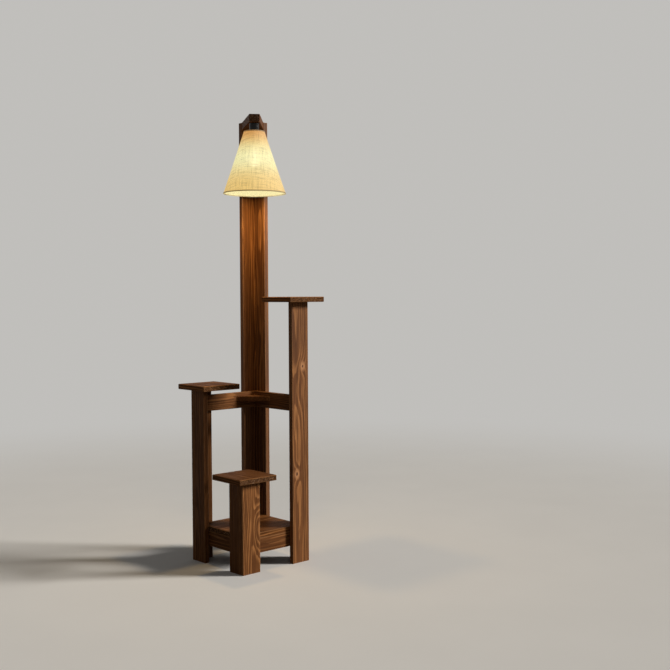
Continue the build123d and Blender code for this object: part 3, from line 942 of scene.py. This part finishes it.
def linen_finish(name, glow, see_through, evenness=0.0):
    """Linen with a painted glow that stands for the globe's light coming through it; evenness
    spreads the painted pale light over all heights and threads, and see_through is how open the
    gaps between the yarns are."""
    material, tree, shader, here = new_material(name)
    flat_place = put(tree, "ShaderNodeUVMap", uv_map="flat_cloth").outputs["UV"]
    cloth = use_group(tree, weave, {"Flat place": flat_place})
    height = split(tree, here)[2]
    from_globe = calc(tree, "DIVIDE", minus(tree, height, globe_height), pale_reach)
    # Painted light of the globe: brightest at the globe's height.
    near = calc(tree, "MAXIMUM", hill(tree, from_globe, 1.0), evenness)
    # Painted shade of the holder: the top of the cone is painted dim and amber.
    painted_holder_shade = remap(tree, height, shade_high[2] - holder_shade_reach, shade_high[2], 0.0, holder_shade_share)
    ends = [base + change * evenness for base, change in (thin_light, thick_light)]
    threads = remap(tree, cloth["Slub"], *slub_range, *ends, smooth=False)
    warm = blend(tree, painted_holder_shade, blend(tree, near, amber_glow, pale_glow), holder_shade_glow)
    holes = times(tree, cloth["Open"], see_through)
    # The emission is painted light, the globe's light coming through the cloth.
    give(tree, shader, {
        "Base Color": blend(tree, cloth["Slub"], thin_tint, thick_tint),
        "Roughness": 0.9, "Sheen Weight": 0.1, "Alpha": minus(tree, 1.0, holes),
        "Emission Color": scaled(tree, warm, threads), "Emission Strength": glow,
    })
    rough_up(tree, shader, cloth["Height"], *weave_relief)
    return material


# Painted glows for the outer side, the pale inner side and the dim bindings.
linen = linen_finish("lit_linen", 0.97, 0.36)
inner_linen = linen_finish("inner_linen", 0.98, 0.36, 1.0)
trim_linen = linen_finish("trim_linen", 0.30, 0.0)
print("globe height", round(globe_height, 3))

# %% [markdown]
# ## The cloth cone
#
# A cone unrolls flat into part of a ring, and that is how the cloth was cut. It is wrapped round,
# the last few millimetres lap over the start at the back, and a narrow band of the same cloth
# binds each rim. The sheet here is built in rows and columns from its flat pattern, so every point
# knows where it lay on the flat cloth. Stretched between two hoops, cloth pulls in a little.

# %% Shade cloth
cloth_rows = 48
cloth_columns = 192
cloth_thick = 0.0008
lap_turn = radians(6.0)
lap_ramp = radians(4)
lap_lift = 0.0009
lap_rush = 2.5
seam_turn = radians(45.0)
pull_in = 0.0005
waver = 0.00012
shade_top_radius = 0.035
shade_bottom_radius = (shade_high[0] - shade_low[0]) / 2
shade_tall = shade_high[2] - shade_low[2]
slant = hypot(shade_tall, shade_bottom_radius - shade_top_radius)
flat_inner = shade_top_radius * slant / (shade_bottom_radius - shade_top_radius)
flat_share = shade_top_radius / flat_inner


def cone_place(share, turn, out):
    """A point on the cone, from the top (0) to the bottom (1), moved outwards a little."""
    reach = shade_top_radius + (shade_bottom_radius - shade_top_radius) * share + out
    height = shade_high[2] - shade_tall * share
    return (lamp_x + reach * cos(turn), lamp_y + reach * sin(turn), height)


def flat_spot(share, turn):
    """Where that point lies on the flat cloth, in metres."""
    reach = flat_inner + slant * share
    bearing = (turn - seam_turn - pi) * flat_share
    return (reach * sin(bearing), -reach * cos(bearing))


def lay_flat(thing, spots):
    """Stores the flat place of every point as the mesh's own map."""
    layer = thing.data.uv_layers.new(name="flat_cloth")
    for loop in thing.data.loops:
        layer.data[loop.index].uv = spots[loop.vertex_index]


points, spots, faces = [], [], []
for row in range(cloth_rows + 1):
    share = row / cloth_rows
    for column in range(cloth_columns + 1):
        turn = seam_turn + (2 * pi + lap_turn) * column / cloth_columns
        past = max(0.0, turn - seam_turn - 2 * pi + lap_ramp) / (lap_turn + lap_ramp)
        slack = -pull_in * sin(pi * share) + waver * sin(turn * 7 + share * 5)
        points.append(cone_place(share, turn, slack + lap_lift * min(1.0, past * lap_rush)))
        spots.append(flat_spot(share, turn))
wide = cloth_columns + 1
for row in range(cloth_rows):
    for column in range(cloth_columns):
        corner = row * wide + column
        faces.append((corner, corner + wide, corner + wide + 1, corner + 1))
shade_cloth = link_mesh("shade_cloth", points, faces, linen, "shade")
lay_flat(shade_cloth, spots)
skin = shade_cloth.modifiers.new("cloth_thickness", "SOLIDIFY")
skin.thickness = cloth_thick
skin.offset = -1.0
shade_cloth.data.materials.append(inner_linen)
skin.material_offset = 1
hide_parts("shade_fabric")
print("cloth points:", len(points), "slant:", round(slant, 4))

# %% [markdown]
# The binding at each rim is a narrow folded strip. Two layers and a wire hold the light back, so
# it reads as a thin dark line. A short section, rounded over the rim, is carried once round. Each
# of its points is given by how far it lies outside the cone and how far past the rim.

# %% Rim bindings
binding_around = 192
binding_section = [
    (0.0001, -0.0040), (0.0006, -0.0040), (0.0008, -0.0030), (0.0008, -0.0008), (0.0004, 0.0002),
    (-0.0004, 0.0003), (-0.0008, 0.0001), (-0.0008, -0.0004), (0.0001, -0.0004),
]


def binding(name, share_at, down):
    """A folded strip round one rim; down is 1 at the bottom rim and -1 at the top one."""
    points, spots = [], []
    for out, along in binding_section:
        share = share_at + down * along / slant
        for step in range(binding_around):
            turn = 2 * pi * step / binding_around
            points.append(cone_place(share, turn, out))
            spots.append(flat_spot(share, turn))
    faces = barrel_faces(len(binding_section), binding_around, closed=True)
    if down < 0:
        faces = [tuple(reversed(face)) for face in faces]
    strip = link_mesh(name, points, faces, trim_linen, "shade")
    lay_flat(strip, spots)
    return strip


bottom_binding = binding("shade_bottom_binding", 1.0, 1)
top_binding = binding("shade_top_binding", 0.0, -1)

# %% [markdown]
# ## Screws
#
# The aprons and the arm are screwed on with countersunk cross-head screws. Only their heads show,
# on the inner faces of the aprons and on the back of the lamp post. A head with a real recess
# catches light in a way that a painted cross doesn't, so each head is a fine grid of points and
# the ones inside the cross are pressed down.

# %% Cross-head screws
head_radius = 0.0040
head_rings = 9
head_around = 32
head_deep = 0.0026
face_share = 0.97
face_deep = 0.00003
rim_deep = 0.0001
shank_radius = 0.0020
point_radius = 0.0003
point_long = 0.004
recess_deep = 0.0013
recess_end = 0.0023
recess_foot = 0.0024
recess_slope = 0.0030
recess_half = 0.0006
recess_flare = 0.0002


def screw_mesh(points, faces, head, inward, length):
    """Adds one screw: a recessed head, its cone and a pointed shank."""
    way = Vector(inward).normalized()
    side = way.orthogonal().normalized()
    other = way.cross(side)
    start = len(points)

    def spot(radius, turn, deep):
        across = side * (radius * cos(turn)) + other * (radius * sin(turn))
        points.append(tuple(Vector(head) + across + way * deep))

    for ring in range(1, head_rings + 1):
        reach = head_radius * face_share * ring / head_rings
        half = recess_half + recess_flare * (1 - reach / head_radius)
        for step in range(head_around):
            turn = 2 * pi * step / head_around
            a, b = abs(reach * cos(turn)), abs(reach * sin(turn))
            inside = (a < half and b < recess_end) or (b < half and a < recess_end)
            pressed = recess_deep * (1 - reach / recess_slope)
            spot(reach, turn, pressed if inside and reach < recess_foot else face_deep)
    for reach, deep in ((head_radius, rim_deep), (shank_radius, head_deep),
                        (shank_radius, length - point_long), (point_radius, length)):
        for step in range(head_around):
            spot(reach, 2 * pi * step / head_around, deep)
    spot(0.0, 0.0, recess_deep)
    spot(0.0, 0.0, length)
    loops = head_rings + 4
    last = start + (loops - 1) * head_around
    middle, tip = last + head_around, last + head_around + 1
    for step in range(head_around):
        nearby = (step + 1) % head_around
        for low in range(start, last, head_around):
            high = low + head_around
            faces.append((low + step, high + step, high + nearby, low + nearby))
        faces.append((middle, start + step, start + nearby))
        faces.append((tip, last + nearby, last + step))


def screw_set(name, places, length):
    """One object with all the screws of a kind, each given by its head and its way in."""
    points, faces = [], []
    for head, inward in places:
        screw_mesh(points, faces, head, inward, length)
    return link_mesh(name, points, faces, zinc, "frame", smooth=False)


apron_screw_long = 0.030
apron_screw_margin = 0.0125
arm_screw_long = 0.040
arm_screw_rows = (0.007, 0.021)
front_low, front_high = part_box("front_apron")
inner_line = -front_high[1]
wing_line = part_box("high_post_face_plank")[0][0]
corner_line = (wing_line + inner_line) / 2
places = []
for level in (front_low[2] + apron_screw_margin, front_high[2] - apron_screw_margin):
    for sx in (-1, 1):
        for sy in (-1, 1):
            places.append(((sx * corner_line, sy * inner_line, level), (0, sy, 0)))
            places.append(((sx * inner_line, sy * corner_line, level), (sx, 0, 0)))
apron_screw_heads = screw_set("apron_cross_screws", places, apron_screw_long)
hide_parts("apron_screws")
print("apron screws:", len(places))

arm_low, arm_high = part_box("arm_screws")
back_line = arm_high[0]
level = (arm_low[2] + arm_high[2]) / 2
places = []
for row in arm_screw_rows:
    places.append(((wing_line + row, back_line, level), (0, -1, 0)))
    places.append(((back_line, wing_line + row, level), (-1, 0, 0)))
arm_screw_heads = screw_set("arm_cross_screws", places, arm_screw_long)
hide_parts("arm_screws")
print("arm screws:", len(places))

# %% [markdown]
# ## Ground finish
#
# The ground is plain and pale so that it takes the lamp's shadow and adds nothing of its own. A
# trace of mottle keeps it from looking like a cut-out. A pale ground also throws a lot of light
# back up, which would wash out the shaded sides of the wood, so only the rays that show the
# ground see it pale. Its fade into the sky's colour goes by distance from the lamp.

# %% Pale ground
ground_tones = [(0.800, 0.785, 0.755, 1), (0.850, 0.834, 0.802, 1)]
ground_bounce = (0.17, 0.165, 0.155, 1)
ground_gloss = (0.3, 0.7, 0.86, 0.94)
ground_relief = (0.0004, 0.3)
fade_range = (1.6, 4.2)

pale_ground, tree, shader, here = new_material("pale_ground")
mottle = noise(tree, here, 3.0, 3.0)
seen = seen_ray(tree)
shown = blend(tree, mottle, *ground_tones)
give(tree, shader, {"Base Color": blend(tree, seen, ground_bounce, shown),
                    "Roughness": remap(tree, mottle, *ground_gloss), "Specular IOR Level": 0.1})
rough_up(tree, shader, mottle, *ground_relief)
plain = put(tree, "ShaderNodeEmission")
give(tree, plain, {"Color": ground_color})
away = remap(tree, vector_calc(tree, "LENGTH", here), *fade_range)
fade = mix_shaders(tree, times(tree, away, seen), shader.outputs[0], plain.outputs[0])
give(tree, tree.nodes["Material Output"], {"Surface": fade})
ground.data.materials.append(pale_ground)
print("ground ready")
